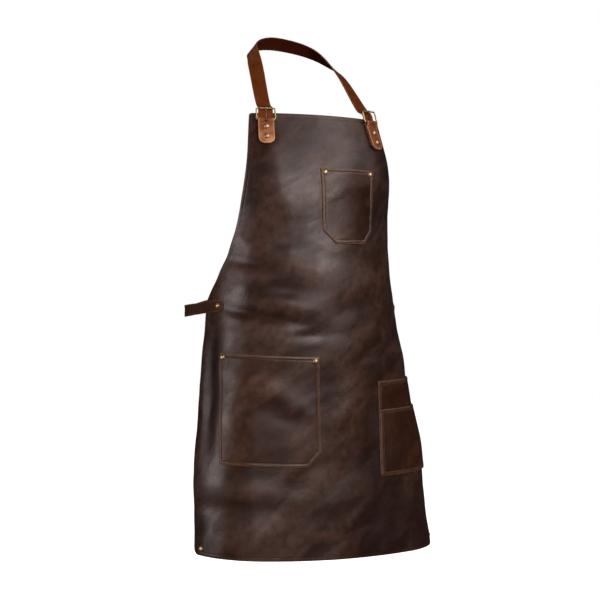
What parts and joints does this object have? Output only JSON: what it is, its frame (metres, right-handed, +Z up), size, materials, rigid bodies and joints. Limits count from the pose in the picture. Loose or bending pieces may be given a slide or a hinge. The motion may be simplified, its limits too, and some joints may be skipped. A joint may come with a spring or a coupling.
{
  "type": "leather apron",
  "caption": "Worn leather work apron with a bib, chest, hip and tool pockets, a buckled neck strap and waist loops.",
  "frame": {"origin": "middle of the neck strap's inner face at the nape, where the apron hangs from the neck", "axes": "+Z up, the apron's front towards -Y, +X to the right of someone looking at its front"},
  "size_m": [0.509, 0.2821, 1.0108],
  "materials": {
    "apron_leather": "waxed pull-up, dark brown, soft sheen",
    "strap_leather": "vegetable tanned, cognac, satin",
    "brass": "antique, softly polished"
  },
  "bodies": {
    "root": {"apron_panel": "apron_leather", "chest_pocket": "apron_leather", "hip_pocket": "apron_leather", "tool_pocket_back": "apron_leather", "tool_pocket_front": "apron_leather", "waist_loop_left": "apron_leather", "waist_loop_right": "apron_leather", "neck_strap": "strap_leather", "strap_tab_left": "strap_leather", "strap_tab_right": "strap_leather", "buckle_left": "brass", "buckle_right": "brass", "buckle_prong_left": "brass", "buckle_prong_right": "brass", "rivet_chest_left": "brass", "rivet_chest_right": "brass", "rivet_hip_left": "brass", "rivet_hip_right": "brass", "rivet_tab_left_lower": "brass", "rivet_tab_left_upper": "brass", "rivet_tab_right_lower": "brass", "rivet_tab_right_upper": "brass", "rivet_waist_left": "brass", "rivet_waist_right": "brass", "rivet_hem_left": "brass", "rivet_hem_right": "brass"}
  },
  "joints": []
}
